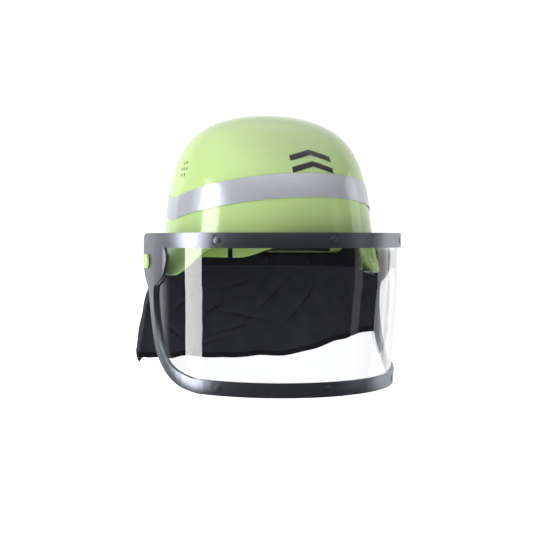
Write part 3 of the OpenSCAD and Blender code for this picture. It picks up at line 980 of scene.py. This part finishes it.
CLOTH_FROM = 84.0
CLOTH_TO = 265.0
CLOTH_SWING = 11.0
CLOTH_TOP = 6 * MM
CLOTH_TOP_RISE = 8 * MM
CLOTH_BACK_LOW = -111 * MM
CLOTH_LEFT_LOW = -98.5 * MM
CLOTH_CORNER_LIFT = 5 * MM
CLOTH_RIGHT_LOW = -74 * MM
CLOTH_BOTTOM_HALF = (127 * MM, 129 * MM)
CLOTH_TUCK = (98 * MM, 112 * MM)
CLOTH_FLARE_DROP = 10 * MM
CLOTH_LEFT_BULGE = 6.5 * MM
HEM = 6 * MM
CLOTH_INSET = 4.5 * MM
CLOTH_GIRTH = 0.42
CLOTH_DROP = 0.125
BINDING_LOW = -8 * MM
BINDING_IN = 1.8 * MM
STITCH_HEIGHT = 4.9 * MM
CREASE_DEPTH = 1.9 * MM
CREASE_SPAN = 0.117
# Creases of the cloth: angle, share of the drop, lean, half-length and half-width
CREASES = (
    (150, 0.36, 0.75, 0.030, 0.0018), (158, 0.30, 0.9, 0.022, 0.0014), (172, 0.30, 0.25, 0.016, 0.0016),
    (186, 0.52, 0.45, 0.014, 0.0015), (168, 0.60, -0.2, 0.022, 0.0016), (196, 0.66, 0.7, 0.018, 0.0016),
    (176, 0.72, 0.2, 0.020, 0.0018), (206, 0.45, 0.5, 0.016, 0.0015), (140, 0.55, 0.8, 0.020, 0.0014),
    (214, 0.70, -0.5, 0.020, 0.0017), (190, 0.85, 0.35, 0.018, 0.0018), (132, 0.40, 0.9, 0.018, 0.0014),
)


def cloth_low(share):
    """Height of the curtain's lower edge; share runs from 0 on the +X side to 1 on the -X side."""
    b = abs(2 * share - 1)
    side = CLOTH_RIGHT_LOW if share < 0.5 else CLOTH_LEFT_LOW
    wave = 0.9 * MM * math.sin(share * 31) + 0.6 * MM * math.sin(share * 57 + 1)
    rise = smooth((b - 0.1) / 0.85) if share < 0.5 else smooth(b)
    corner = CLOTH_CORNER_LIFT * smooth((share - 0.94) / 0.06)
    return blend(CLOTH_BACK_LOW, side, rise) + wave + corner


def cloth_top(share):
    """Height of the curtain's top edge: it stays low where the nape strap slides close to the shell."""
    angle = blend(CLOTH_FROM, CLOTH_TO, share)
    front = 1 - smooth((angle - 96) / 8)
    back = smooth((angle - 150) / 8) * (1 - smooth((angle - 202) / 8))
    return CLOTH_TOP + CLOTH_TOP_RISE * max(front, back)


def fold(angle, down, depth):
    """How far the cloth stands in or out: broad folds, then fine slanting creases."""
    a = math.radians(angle)
    broad = math.sin(a * 7.0 + 1.1 + 1.6 * down) * 0.6 + math.sin(a * 12.0 - 0.7 - 2.2 * down) * 0.3
    crease = 0.0
    for middle, height, lean, reach, width in CREASES:
        across = (angle - middle) * 2.1 * MM
        up = (down - height) * CREASE_SPAN
        along = across * math.cos(lean) + up * math.sin(lean)
        off = -across * math.sin(lean) + up * math.cos(lean)
        crease += math.exp(-((along / reach) ** 2)) * math.exp(-((off / width) ** 2))
    fine = noise.noise(Vector((angle * 0.16 + down * 3.0, down * 4.5, 9.0)))
    soft = depth * (0.7 * broad * down**1.3 + 0.28 * fine * smooth(down * 3))
    return soft + CREASE_DEPTH * crease * smooth(down * 5)


def cloth_point(share, z, inwards, depth):
    """A point of the hanging curtain."""
    down = clamp((CLOTH_TOP - z) / (CLOTH_TOP - CLOTH_BACK_LOW))
    start = CLOTH_FROM - CLOTH_SWING * smooth((FLAP_RIM + 2 * MM - z) / 0.008)
    angle = blend(start, CLOTH_TO, share)
    top_width, top_length = shell_half(0.0)
    width = blend(top_width - CLOTH_INSET, CLOTH_BOTTOM_HALF[0], down**0.8)
    if z > NAPE_RIM:
        width = min(width, shell_half(z)[0] - CLOTH_INSET)
    tuck = blend(*CLOTH_TUCK, smooth((FLAP_RIM + 4 * MM - z) / CLOTH_FLARE_DROP))
    width = blend(width, min(width, tuck), smooth((125 - angle) / 25))
    bulge = smooth((angle - 215) / 40) * smooth(down * 2.2) * (1 - smooth((down - 0.80) / 0.14))
    width += CLOTH_LEFT_BULGE * bulge
    length = blend(top_length - CLOTH_INSET, CLOTH_BOTTOM_HALF[1], down)
    move = fold(angle, down, depth) - inwards - 0.5 * depth * down
    a = math.radians(angle)
    return Vector(((width + move) * math.sin(a), -(length + move) * math.cos(a), z))


def scaled_uv(obj, width, height):
    """Scales a grid's own UV map to metres."""
    for loop in obj.data.uv_layers.active.data:
        loop.uv = (loop.uv[0] * width, loop.uv[1] * height)


class HELMET_OT_curtain(bpy.types.Operator):
    """Hangs the neck curtain with its hem, stitches, binding and snaps"""

    bl_idname = "helmet.curtain"
    bl_label = "Neck Curtain"

    def execute(self, context):
        settings = context.scene.helmet_curtain
        depth = settings.fold_depth
        colour = tuple(settings.colour)

        def curtain_place(u, v):
            return cloth_point(u, blend(cloth_low(u) + HEM - 0.5 * MM, cloth_top(u), v), 0.2 * MM, depth)

        def hem_place(u, v):
            belly = 0.35 * MM * math.sin(math.pi * v)
            return cloth_point(u, cloth_low(u) + HEM * v, -0.25 * MM - belly, depth)

        def binding_place(u, v):
            return cloth_point(u, blend(BINDING_LOW, cloth_top(u) - 1 * MM, v), BINDING_IN, 0.0)

        cloth = surface("neck_curtain", 260, 90, curtain_place)
        scaled_uv(cloth, CLOTH_GIRTH, CLOTH_DROP)
        thicken(cloth, settings.thickness)
        smooth_shade(cloth, 60)
        weave = cloth_material("curtain_cloth", colour, 1500.0, 1300.0, depth=0.03, sheen=0.0, contrast=0.95)
        give(cloth, "helmet", "neck_cloth", weave, "neck_cloth")

        hem = surface("curtain_hem", 260, 6, hem_place)
        scaled_uv(hem, CLOTH_GIRTH, HEM)
        thicken(hem, settings.thickness * 2.2)
        round_edges(hem, 0.4 * MM, segments=2, angle=60)
        smooth_shade(hem, 50)
        dark = cloth_material(
            "hem_cloth", shade_of(colour, 0.4), 1500.0, 1300.0, depth=0.03, sheen=0.0, contrast=0.95
        )
        give(hem, "helmet", "hem_cloth", dark, "neck_cloth_hem")

        binding = surface("curtain_binding", 200, 8, binding_place)
        scaled_uv(binding, CLOTH_GIRTH, CLOTH_TOP + CLOTH_TOP_RISE - 1 * MM - BINDING_LOW)
        thicken(binding, 1.2 * MM)
        round_edges(binding, 0.3 * MM, segments=2, angle=60)
        smooth_shade(binding, 50)
        give(binding, "helmet", "hem_cloth", dark, "neck_cloth_binding")

        stitches = self.stitches(settings, depth, shade_of(colour, 1.8))
        # The snap caps are near black so that they sink into the shade at the curtain's top: painted shade.
        caps = plastic("snap_black_painted_shade", (0.010, 0.010, 0.012), rough=(0.25, 0.35), grain_depth=0.02)
        snaps = from_node("neck_cloth_snaps", "curtain_snaps", radius=0.4 * MM, segments=3)
        give(snaps, "helmet", "snap_cap", caps, "neck_cloth_snaps")
        return {"FINISHED"}

    def stitches(self, settings, depth, colour):
        """A row of thread stitches along the top of the hem, as one mesh."""
        pitch = settings.stitch_length * 1.35
        count = int(0.38 / pitch)
        pieces = []
        deselect()
        bpy.ops.mesh.primitive_cylinder_add(vertices=6, radius=0.22 * MM, depth=settings.stitch_length)
        model = named("hem_stitch_model")
        round_edges(model, 0.1 * MM, segments=1, angle=50)
        for i in range(count):
            share = (i + 0.5) / count
            step = 0.35 / count
            here, ahead = (
                cloth_point(place, cloth_low(place) + STITCH_HEIGHT, -0.75 * MM, depth)
                for place in (share, share + step)
            )
            stitch = model.copy()
            stitch.data = model.data.copy()
            bpy.context.scene.collection.objects.link(stitch)
            stitch.location = here
            stitch.rotation_euler = (ahead - here).to_track_quat("Z", "Y").to_euler()
            pieces.append(stitch)
        bpy.data.objects.remove(model)
        row = join(*pieces)
        row.name = "hem_stitches"
        settle(row)
        smooth_shade(row, 60)
        thread = plastic("hem_thread", colour, rough=(0.6, 0.8), grain_scale=4000.0, grain_depth=0.4)
        return give(row, "helmet", "hem_cloth", thread)


# ---------------------------------------------------------------- harness


def harness_plastic(settings):
    return plastic(
        "harness_black", tuple(settings.webbing_colour), rough=(0.35, 0.55), grain_scale=1400.0,
        grain_depth=0.12, wear=0.2,
    )


BAND_HALF = (78 * MM, 98 * MM)
BAND_THICK = 1.8 * MM
BAND_TOP = 38 * MM
BAND_FRONT_LOW = 13 * MM
BAND_SIDE_LOW = 4 * MM
BAND_END = 135
PEG_SLOT = (16 * MM, 46 * MM, 19 * MM, 2.8 * MM)
NOTCH_ANGLE = 51


class HELMET_OT_headband(bpy.types.Operator):
    """Finishes the headband, nape strap, size pegs, clips and links"""

    bl_idname = "helmet.headband"
    bl_label = "Headband"

    def execute(self, context):
        settings = context.scene.helmet_harness
        green = plastic("band_green", tuple(settings.band_colour), rough=(0.3, 0.45), grain_scale=1000.0,
                        grain_depth=0.08)
        black = harness_plastic(settings)
        band = self.band()
        give(band, "helmet", "band_plastic", green, "headband")
        for node, body, radius in (
            ("nape_strap", "nape", 0.4 * MM), ("size_pegs", "nape", 0.4 * MM),
            ("hanger_clips", "helmet", 0.8 * MM), ("band_hangers", "helmet", 0.3 * MM),
        ):
            piece = from_node(node, f"{node}_moulding", radius=radius)
            give(piece, body, "harness_plastic", black, node)
        return {"FINISHED"}

    def band(self):
        """The green band: a half oval in front, straight arms, two notches and two slots for the pegs."""

        def place(u, v):
            angle = blend(-BAND_END, BAND_END, u)
            turn = math.radians(max(-90.0, min(90.0, angle)))
            beyond = max(0.0, abs(angle) - 90) * MM
            low = blend(BAND_FRONT_LOW, BAND_SIDE_LOW, smooth((-angle - 19) / 26))
            x = BAND_HALF[0] * math.sin(turn)
            y = beyond - BAND_HALF[1] * math.cos(turn)
            return Vector((x, y, blend(low, BAND_TOP, v)))

        band = surface("headband_moulding", 216, 16, place)
        thicken(band, BAND_THICK, offset=1)
        front, back, height, radius = PEG_SLOT
        for side in (-1, 1):
            for y in (front, back):
                cut(band, cylinder_x("slot_end", radius, side * 0.07, side * 0.09, y, height, sides=24))
            self.box_cut(band, (side * 79 * MM, (front + back) / 2, height),
                         (20 * MM, back - front, 2 * radius), 0)
            a = math.radians(side * NOTCH_ANGLE)
            self.box_cut(band, (BAND_HALF[0] * math.sin(a), -BAND_HALF[1] * math.cos(a), 6 * MM),
                         (6.4 * MM, 30 * MM, 22 * MM), a)
        round_edges(band, 0.35 * MM, segments=2, angle=50)
        smooth_shade(band, 40)
        return band

    def box_cut(self, target, place, size, turn):
        deselect()
        bpy.ops.mesh.primitive_cube_add(size=1, location=place, rotation=(0, 0, turn), scale=size)
        cut(target, settle(named("box_cutter")))


def strap_surface(node, crosswise, settings):
    """A band of webbing along a CAD strap: half an oval from clip to clip."""
    low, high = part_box(node)
    axis, other = (0, 1) if crosswise else (1, 0)
    reach = high[axis] - 0.6 * MM
    half = (high[other] - low[other]) / 2
    thickness = 1.1 * MM

    def place(u, v):
        a = math.radians(blend(-90, 90, u))
        along = math.copysign(abs(math.sin(a)) ** 0.8, math.sin(a)) * reach
        z = low.z + (high.z - low.z - 0.1 * MM) * max(0.0, math.cos(a)) ** 0.8
        across = blend(-half, half, v)
        return Vector((along, across, z)) if crosswise else Vector((-across, along, z))

    strap = surface(f"{node}_webbing", 120, 8, place)
    scaled_uv(strap, 0.3, 0.02)
    edit_all(strap)
    bpy.ops.mesh.normals_make_consistent(inside=False)
    leave_edit()
    thicken(strap, thickness, offset=-1)
    round_edges(strap, 0.3 * MM, segments=2, angle=60)
    smooth_shade(strap, 50)
    webbing = cloth_material(f"{node}_weave", tuple(settings.webbing_colour), 500.0, 700.0, depth=0.9)
    give(strap, "helmet", "strap_webbing", webbing, node)
    return strap


class HELMET_OT_straps(bpy.types.Operator):
    """Weaves the two crown straps"""

    bl_idname = "helmet.straps"
    bl_label = "Crown Straps"

    def execute(self, context):
        settings = context.scene.helmet_harness
        strap_surface("lengthwise_crown_strap", False, settings)
        strap_surface("crosswise_crown_strap", True, settings)
        return {"FINISHED"}


def puff(obj, frames, cap):
    """Swells a closed mesh with Blender's cloth under pressure, and caps how far each point moves."""
    rest = [v.co.copy() for v in obj.data.vertices]
    pick(obj)
    cloth = obj.modifiers.new("swell", "CLOTH")
    cloth.settings.use_pressure = True
    cloth.settings.uniform_pressure_force = 4.0
    cloth.settings.effector_weights.gravity = 0.0
    cloth.settings.tension_stiffness = 25.0
    cloth.settings.bending_stiffness = 0.8
    cloth.point_cache.frame_end = frames
    for step in range(1, frames + 1):
        bpy.context.scene.frame_set(step)
    bpy.ops.object.modifier_apply(modifier="swell")
    bpy.context.scene.frame_set(1)
    for vertex, start in zip(obj.data.vertices, rest):
        move = vertex.co - start
        if move.length > cap:
            vertex.co = start + move.normalized() * cap


class HELMET_OT_pads(bpy.types.Operator):
    """Swells the brow, nape and crown pads"""

    bl_idname = "helmet.pads"
    bl_label = "Pads"

    def execute(self, context):
        settings = context.scene.helmet_harness
        cover = foam_cloth_material("pad_cover", shade_of(settings.webbing_colour, 1.5))
        for node, body, fill in (
            ("brow_pad", "helmet", 0.5), ("nape_pad", "nape", 0.5), ("crown_pad", "helmet", 0.6),
        ):
            pad = from_node(node, f"{node}_cushion", radius=0)
            modify(pad, "REMESH", mode="VOXEL", voxel_size=settings.pad_voxel)
            modify(pad, "SMOOTH", factor=0.6, iterations=8)
            puff(pad, settings.pad_frames, 1.6 * MM)
            modify(pad, "SUBSURF", levels=1, render_levels=1)
            smooth_shade(pad, 80)
            give(pad, body, "pad_cloth", cover, node)
        return {"FINISHED"}


# ---------------------------------------------------------------- stage


IMAGE_SIZE = 533
AXIS_OFFSET = -0.5
HORIZON_OFFSET = 26.5
AMBIENT = 0.17
BACK_GLOW = 1.05
CEILING_GLOW = 1.9
SEEN_GLOW = 1.12
BACK_EDGE = (-0.42, -0.72)
CEILING_EDGE = (0.30, 0.95)
# Name, azimuth and elevation in degrees, distance, size, power, and whether it shows in reflections
LAMPS = (
    ("left_strip", -107, 1, 1.6, (0.50, 1.15), 19, True),
    ("left_fill", -80, 45, 1.7, (1.2, 1.0), 12, False),
    ("top_fill", -120, 72, 1.6, (1.4, 1.4), 9, False),
    ("right_panel", 90, 3, 1.7, (0.62, 1.5), 4.6, True),
    ("right_strip", 52, 3, 1.7, (0.30, 1.5), 1.0, True),
    ("front_fill", 2, 6, 2.0, (1.4, 1.0), 3, False),
)


def lamp(name, azimuth, elevation, distance, size, power, glossy):
    """A soft area lamp that looks at the helmet from an azimuth and elevation in degrees."""
    a, e = math.radians(azimuth), math.radians(elevation)
    place = Vector((math.sin(a) * math.cos(e), -math.cos(a) * math.cos(e), math.sin(e))) * distance
    data = bpy.data.lights.new(name, "AREA")
    data.shape = "RECTANGLE"
    data.size, data.size_y = size
    data.energy = power
    obj = bpy.data.objects.new(name, data)
    bpy.context.scene.collection.objects.link(obj)
    obj.location = place
    obj.rotation_euler = (-place).to_track_quat("-Z", "Y").to_euler()
    obj.visible_glossy = glossy
    obj.visible_camera = False
    obj.visible_transmission = False
    return obj


def soft_step(tree, value, edge, glow):
    """A smooth step: the glow changes from its first value to its second between the two edges."""
    step = tree.nodes.new("ShaderNodeMapRange")
    step.interpolation_type = "SMOOTHSTEP"
    for label, number in zip(("From Min", "From Max", "To Min", "To Max"), (*edge, *glow)):
        step.inputs[label].default_value = number
    link(tree, value, step.inputs["Value"])
    return step.outputs["Result"]


def make_world(towards_camera):
    """White to the eye and behind the pane; a mirror sees a dark room with a bright back and ceiling."""
    world = bpy.data.worlds.new("studio")
    bpy.context.scene.world = world
    world.use_nodes = True
    tree = world.node_tree
    background = tree.nodes["Background"]
    direction = tree.nodes.new("ShaderNodeTexCoord").outputs["Generated"]
    facing = tree.nodes.new("ShaderNodeVectorMath")
    facing.operation = "DOT_PRODUCT"
    facing.inputs[1].default_value = towards_camera
    link(tree, direction, facing.inputs[0])
    split = tree.nodes.new("ShaderNodeSeparateXYZ")
    link(tree, direction, split.inputs["Vector"])
    back = soft_step(tree, facing.outputs["Value"], BACK_EDGE, (0.02, BACK_GLOW))
    above = soft_step(tree, split.outputs["Z"], CEILING_EDGE, (0.0, CEILING_GLOW))
    mirrored = math_node(tree, "MAXIMUM", back, above)
    path = tree.nodes.new("ShaderNodeLightPath")
    straight = math_node(tree, "LESS_THAN", path.outputs["Glossy Depth"], 0.5)
    through = math_node(tree, "MULTIPLY", path.outputs["Is Transmission Ray"], straight)
    outputs = path.outputs
    mirror_ray = math_node(tree, "MAXIMUM", outputs["Is Glossy Ray"], outputs["Is Transmission Ray"])
    seen = math_node(tree, "MAXIMUM", path.outputs["Is Camera Ray"], through)
    glossy = tree.nodes.new("ShaderNodeMix")
    glossy.inputs["A"].default_value = AMBIENT
    link(tree, mirror_ray, glossy.inputs["Factor"])
    link(tree, mirrored, glossy.inputs["B"])
    strength = tree.nodes.new("ShaderNodeMix")
    strength.inputs["B"].default_value = SEEN_GLOW
    link(tree, seen, strength.inputs["Factor"])
    link(tree, glossy.outputs["Result"], strength.inputs["A"])
    background.inputs["Color"].default_value = (1.0, 1.0, 1.0, 1.0)
    link(tree, strength.outputs["Result"], background.inputs["Strength"])


class HELMET_OT_stage(bpy.types.Operator):
    """Sets up the camera, the soft lamps and the pale floor"""

    bl_idname = "helmet.stage"
    bl_label = "Stage"

    def execute(self, context):
        settings = context.scene.helmet_stage
        scene = context.scene
        a = settings.azimuth
        data = bpy.data.cameras.new("camera")
        data.sensor_width = 36.0
        data.lens = data.sensor_width * settings.distance / (IMAGE_SIZE * MM)
        data.shift_x = -AXIS_OFFSET / IMAGE_SIZE
        data.shift_y = -HORIZON_OFFSET / IMAGE_SIZE
        data.clip_end = 50.0
        camera = bpy.data.objects.new("camera", data)
        scene.collection.objects.link(camera)
        back = Vector((math.sin(a), -math.cos(a), 0))
        camera.location = back * settings.distance + Vector((0, 0, settings.eye_height))
        camera.rotation_euler = (-back).to_track_quat("-Z", "Y").to_euler()
        scene.camera = camera
        scene.view_settings.view_transform = "Standard"

        floor_z = CAD_BOX[0][2] - 1 * MM
        deselect()
        bpy.ops.mesh.primitive_plane_add(size=12, location=(0, 0, floor_z))
        floor = settle(named("floor"))
        pale = plastic(
            "pale_floor", tuple(settings.floor_colour), rough=(0.7, 0.8), grain_depth=0.0, tint=0.99,
            Specular_IOR_Level=0.2, Emission_Color=(1.0, 1.0, 1.0), Emission_Strength=1.25,
        )
        floor.data.materials.append(pale)
        floor.visible_glossy = False
        floor.visible_transmission = False

        for values in LAMPS:
            lamp(*values)
        make_world(back)
        return {"FINISHED"}


# ---------------------------------------------------------------- panel and registration


class HELMET_PT_panel(bpy.types.Panel):
    """Lists the helmet's operators"""

    bl_label = "Firefighter Helmet"
    bl_idname = "HELMET_PT_panel"
    bl_space_type = "VIEW_3D"
    bl_region_type = "UI"
    bl_category = "Helmet"

    def draw(self, context):
        for operator in OPERATORS:
            self.layout.operator(operator.bl_idname)


OPERATORS = (
    HELMET_OT_stage, HELMET_OT_shell, HELMET_OT_tapes, HELMET_OT_mark, HELMET_OT_visor_frame,
    HELMET_OT_visor_pane, HELMET_OT_pivots, HELMET_OT_curtain, HELMET_OT_headband, HELMET_OT_straps,
    HELMET_OT_pads,
)
SETTINGS = {
    "helmet_shell": ShellSettings, "helmet_tape": TapeSettings, "helmet_visor": VisorSettings,
    "helmet_curtain": CurtainSettings, "helmet_harness": HarnessSettings, "helmet_stage": StageSettings,
}


def register():
    for cls in (*SETTINGS.values(), *OPERATORS, HELMET_PT_panel):
        bpy.utils.register_class(cls)
    for name, cls in SETTINGS.items():
        setattr(bpy.types.Scene, name, PointerProperty(type=cls))


def unregister():
    for name in SETTINGS:
        delattr(bpy.types.Scene, name)
    for cls in (HELMET_PT_panel, *reversed(OPERATORS), *SETTINGS.values()):
        bpy.utils.unregister_class(cls)


def main():
    register()
    for operator in OPERATORS:
        group, name = operator.bl_idname.split(".")
        getattr(getattr(bpy.ops, group), name)()
    deselect()


if __name__ == "__main__":
    main()
